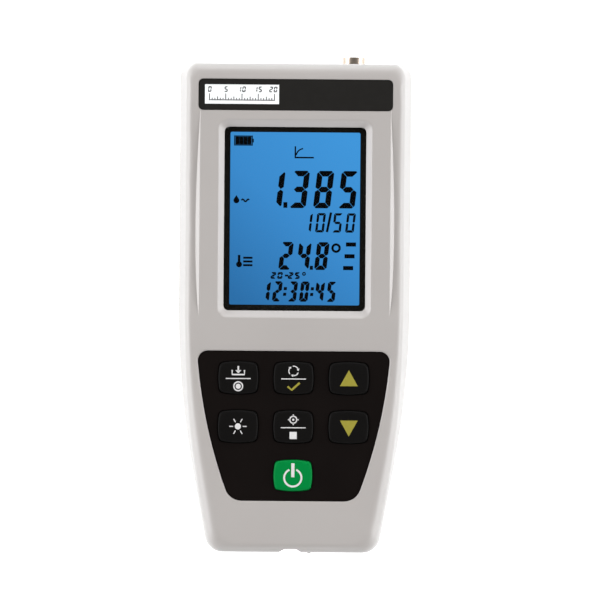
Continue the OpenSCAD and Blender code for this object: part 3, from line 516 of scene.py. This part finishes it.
# %% [markdown]
# The display shows, from the top, a battery, a small graph, the main reading, its range, a second
# reading in degrees and the time. They all sit on the display glass, under the window, in three pieces.
# Plain numbers stand in each row at the size and weight that such a meter uses.

# %% Display content
segment_black = finish("segment_black", (0.0002, 0.0003, 0.0007), 0.6, 0.4, bump_mm=0.001, mottle=0.1)
icon_black = finish("icon_black", (0.001, 0.006, 0.014), 0.6, 0.4, bump_mm=0.001, mottle=0.1)
ink_specular = 0.02
for look in (segment_black, icon_black):
    look.node_tree.nodes["Principled BSDF"].inputs["Specular IOR Level"].default_value = ink_specular

segment_lift = 0.01 * mm
segment_t = 0.03
display_origin = Vector((glass_mid.x, glass_mid.y, glass_high.z + segment_lift))
reading = {"foot": 4.15, "size": (6.45, 14.1), "line": 2.12, "pitch": 9.2, "gap": 0.1}
reading_point = bar((-3.63, 5.3), 1.5, 2.15)
content = number("1385", 22.4, **reading) + [reading_point]
span = {"foot": -4.95, "size": (3.3, 7.3), "line": 0.92, "pitch": 4.9, "gap": 0.06}
slash = stroke([(12.1, -4.8), (13.6, 2.6)], 0.9)
content += number("50", 22.2, **span) + number("10", 10.9, **span) + [slash]
degrees = {"foot": -19.1, "size": (4.67, 10.5), "line": 1.7, "pitch": 6.75, "gap": 0.1}
degree_point = bar((6.35, -18.3), 1.2, 1.5)
degree_ring = stroke(arc((15.6, -10.8), 1.36, 0, 360, 32), 0.88)
content += number("248", 12.0, **degrees) + [degree_point, degree_ring]
level_bars = [bar((20.2 + 0.5 * i, -18.3 + 4.45 * i), 3.8, 1.55) for i in range(3)]
clock = {"foot": -31.1, "size": (3.25, 7.65), "line": 1.38, "pitch": 4.4, "gap": 0.06}
content += level_bars + number("12:30:45", 15.15, **clock)
prisms("display_digits", content, display_origin, segment_t, segment_black, "case")

battery_mid = (-19.6, 29.45)
icons = frame_of(battery_mid, 7.05, 3.8, 0.37)
icons += [bar((battery_mid[0] + 3.7, battery_mid[1]), 0.4, 1.4)]
prisms("battery_outline", icons, display_origin, segment_t, icon_black, "case")
marks = [bar((battery_mid[0] - 2.3 + 1.53 * i, battery_mid[1]), 1.51, 3.0) for i in range(4)]
graph = (-0.03, 23.2)
marks += [stroke([(graph[0], graph[1] + 4.25), (graph[0], graph[1])], 0.55)]
marks += [stroke([(graph[0] - 0.22, graph[1]), (graph[0] + 7.0, graph[1])], 0.58)]
marks += [stroke(arc((graph[0] + 3.3, graph[1] + 0.4), 3.0, 170, 97, 8), 0.5)]
drop = (-22.1, 6.9)
marks += [[(drop[0], drop[1] + 2.0)] + arc(drop, 1.1, 20, -200, 14)]
marks += [stroke([(drop[0] + 1.9 + 0.42 * i, drop[1] + 0.5 * math.sin(i * 1.3)) for i in range(8)], 0.62)]
bulb = (-20.9, -17.2)
marks += [disc(bulb, 1.1), bar((bulb[0], bulb[1] + 2.0), 0.95, 3.1)]
marks += [bar((bulb[0] + 3.3, bulb[1] - 0.3 + 1.4 * i), 3.5, 0.76) for i in range(3)]
reference = {"foot": -22.55, "size": (1.95, 2.55), "line": 0.74, "pitch": 2.5, "gap": 0.02}
marks += number("20", -4.6, **reference) + number("25", 1.9, **reference)
marks += [bar((-2.95, -21.3), 1.3, 0.7), stroke(arc((3.6, -20.6), 0.5, 0, 360, 16), 0.45)]
prisms("display_marks", marks, display_origin, segment_t, segment_black, "case")
print("display shapes:", len(content) + len(icons) + len(marks))

# %% [markdown]
# Key legends are printed on the rubber in white and in an olive yellow. Each legend belongs to its key
# and travels with it, so it rides on the key's own body. The two outer figures of a legend sit above and
# below a thin line.

# %% Key legends
print_white = finish("print_white", (0.6, 0.58, 0.57), 0.6, 0.2, bump_mm=0.003, mottle=0.05, mottle_mm=1)
print_olive = finish("print_olive", (0.262, 0.224, 0.017), 0.6, 0.2, bump_mm=0.003, mottle=0.05, mottle_mm=1)
legend_t = 0.03


def legend(key_node, body, shapes, look, suffix="legend"):
    low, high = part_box(key_node)
    origin = Vector(((low.x + high.x) / 2, (low.y + high.y) / 2, high.z))
    prisms(f"{key_node}_{suffix}", shapes, origin, legend_t, look, body)


rule = bar((0, -0.35), 9.3, 0.36)
upper_y, lower_y = 2.65, -3.25

tray = [
    stroke([(0, upper_y + 1.7), (0, upper_y - 0.2)], 0.6),
    [(-1.15, upper_y + 0.15), (0, upper_y - 1.05), (1.15, upper_y + 0.15)],
    stroke([(-2.3, upper_y + 0.2), (-2.3, upper_y - 1.5), (2.3, upper_y - 1.5), (2.3, upper_y + 0.2)], 0.55),
]
record = [disc((0, lower_y), 0.95), stroke(arc((0, lower_y), 1.65, 0, 360, 32), 0.45)]
legend("key_memory", "memory_key", tray + [rule] + record, print_white)

cycle = []
cycle_r, head_half = 1.8, 0.55
for i in range(3):
    start = 100 - 120 * i
    cycle.append(stroke(arc((0, upper_y), cycle_r, start, start - 74, 8), 0.38))
    head = math.radians(start - 76)
    tip = math.radians(start - 102)
    cycle.append([
        ((cycle_r - head_half) * math.cos(head), upper_y + (cycle_r - head_half) * math.sin(head)),
        ((cycle_r + head_half) * math.cos(head), upper_y + (cycle_r + head_half) * math.sin(head)),
        (cycle_r * math.cos(tip), upper_y + cycle_r * math.sin(tip)),
    ])
tick = [stroke([(-2.2, lower_y + 0.1), (-0.7, lower_y - 1.25), (2.3, lower_y + 1.45)], 0.8)]
legend("key_set", "set_key", cycle + [rule], print_white)
legend("key_set", "set_key", tick, print_olive, "tick")

arrow_half, arrow_h = 3.35, 6.0
arrow = [(-arrow_half, -arrow_h / 2), (arrow_half, -arrow_h / 2), (0, arrow_h / 2)]
legend("key_up", "up_key", [[(x, y + 0.1) for x, y in arrow]], print_olive)
legend("key_down", "down_key", [[(x + 0.1, -y - 0.5) for x, y in arrow[::-1]]], print_olive)

rays = [
    stroke([(r * math.cos(a), r * math.sin(a)) for r in (1.8, 3.25)], 0.36)
    for a in [math.radians(60 * i) for i in range(6)]
]
legend("key_backlight", "backlight_key", [disc((0, 0), 1.15)] + rays, print_white)

target = [stroke(arc((0, upper_y), 1.3, 0, 360, 28), 0.45), disc((0, upper_y), 0.42)]
for a in [math.radians(90 * i) for i in range(4)]:
    target.append(stroke([(r * math.cos(a), upper_y + r * math.sin(a)) for r in (1.3, 2.0)], 0.45))
stop = [bar((0, lower_y), 2.7, 2.7)]
legend("key_calibrate", "calibrate_key", target + [rule] + stop, print_white)

ring_mid = (0, -0.85)
power_sign = [stroke(arc(ring_mid, 3.25, 113, 427, 40), 0.7), bar((0, 2.0), 1.2, 5.2)]
legend("key_power", "power_key", power_sign, print_white)
print("legends on", len(dark_keys) + 1, "keys")

# %% [markdown]
# The plate across the top is a black foil with a pale printed field at its left. The field holds only a
# plain scale with long and short ticks, as any measuring instrument may have.

# %% Name plate field
plate_low, plate_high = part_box("name_plate")
plate_mid = (plate_low + plate_high) / 2
plate_origin = Vector((plate_mid.x, plate_mid.y, plate_high.z))
figure_size = {"size": (1.25, 2.1), "line": 0.4, "pitch": 1.7, "gap": 0.04}
field_mid, field_w, field_h = (-20.2, 0.1), 27.8, 7.25
field_white = finish("field_white", (0.86, 0.86, 0.85), 0.5, grain_mm=0.3, bump_mm=0.002, mottle=0.01)
field = bar(field_mid, field_w, field_h)
field_t, mark_t = 0.02, 0.01
prisms("plate_field", [field], plate_origin, field_t, field_white, "case")

tick_n, ticks_per_figure, ticks_per_half = 25, 6, 3
long_tick, middle_tick, short_tick = 2.4, 1.3, 0.8
tick_w, baseline_w = 0.3, 0.32
scale_inset, edge_room, half_figure = 1.7, 0.8, 0.62
scale_start = field_mid[0] - field_w / 2 + scale_inset
tick_step = (field_w - 2 * scale_inset) / (tick_n - 1)
baseline_y, figures_y = field_mid[1] - 2.2, field_mid[1] + 0.8
scale_marks = [bar((field_mid[0], baseline_y), field_w - 3.0, baseline_w)]
for i in range(tick_n):
    tick_h = middle_tick if i % ticks_per_half == 0 else short_tick
    if i % ticks_per_figure == 0:
        tick_h = long_tick
    scale_marks.append(bar((scale_start + i * tick_step, baseline_y + tick_h / 2), tick_w, tick_h))
for i, figure in enumerate(("0", "5", "10", "15", "20")):
    x = scale_start + i * ticks_per_figure * tick_step + half_figure * len(figure)
    right = min(x, field_mid[0] + field_w / 2 - edge_room)
    scale_marks += number(figure, right, figures_y, **figure_size)
scale_origin = plate_origin + Vector((0, 0, field_t * mm))
prisms("plate_scale", scale_marks, scale_origin, mark_t, segment_black, "case")
print("scale marks:", len(scale_marks))

# %% [markdown]
# The metal pieces are nickel, steel on the screws and gilt on the contacts. Metal shows what stands round
# it, so most of its look comes from the lights. On the socket's barrel, which mirrors the bright ground, the
# nickel carries painted shade: a darker, browner copy, and a fine grain keeps it from looking like a mirror
# ball.

# %% Metals
nickel = finish("bright_nickel", (0.76, 0.7, 0.62), 0.3, grain_mm=0.5, bump_mm=0.002, mottle=0.03, metal=1.0)
steel = finish("screw_steel", (0.56, 0.56, 0.55), 0.36, grain_mm=0.2, bump_mm=0.006, mottle=0.05, metal=1.0)
# painted shade: the barrel's nickel is a darker, browner copy of the same nickel
shaded_barrel_nickel = finish("shaded_barrel_nickel", (0.46, 0.38, 0.31), 0.3, grain_mm=0.5, bump_mm=0.002, metal=1.0)
gilt = finish("contact_gilt", (0.83, 0.62, 0.27), 0.25, grain_mm=0.3, bump_mm=0.002, mottle=0.03, metal=1.0)
dress(["probe_socket"], shaded_barrel_nickel)
dress(["socket_nut", "socket_washer", "clock_crystal"], nickel)
dress(["battery_contacts", "battery_springs"], nickel)
dress(["case_screws", "board_screws", "door_screw_upper", "door_screw_lower"], steel)
dress(["socket_pins", "contact_pads", "supply_pins"], gilt)

# %% [markdown]
# The remaining pieces sit inside and show only when the battery door is lifted. They get plain but
# complete finishes: solder mask, chip resin, foil sleeves on the cells and the soft pink of a contact
# strip.

# %% Inner finishes
mask_green = finish("solder_mask", (0.012, 0.12, 0.05), 0.35, 0.6, bump_mm=0.01, mottle=0.12, mottle_mm=5)
resin_black = finish("chip_resin", (0.02, 0.02, 0.022), 0.55, grain_mm=0.1, bump_mm=0.006, mottle=0.08)
cell_sleeve = finish("cell_sleeve", (0.03, 0.09, 0.24), 0.3, grain_mm=1.2, bump_mm=0.01, mottle=0.06)
strip_pink = finish("strip_rubber", (0.5, 0.2, 0.25), 0.6, grain_mm=0.4, bump_mm=0.01)
can_metal = finish("capacitor_sleeve", (0.05, 0.05, 0.09), 0.35, grain_mm=0.6, bump_mm=0.005)
wire_red = finish("wire_jacket", (0.42, 0.02, 0.015), 0.4, grain_mm=0.5, bump_mm=0.005)
dress(["main_board"], mask_green)
dress(["microcontroller", "analogue_chips", "display_holder", "socket_insulator"], resin_black)
dress(["battery_cells"], cell_sleeve)
dress(["contact_strips"], strip_pink)
dress(["filter_capacitors"], can_metal)
dress(["socket_leads"], wire_red)
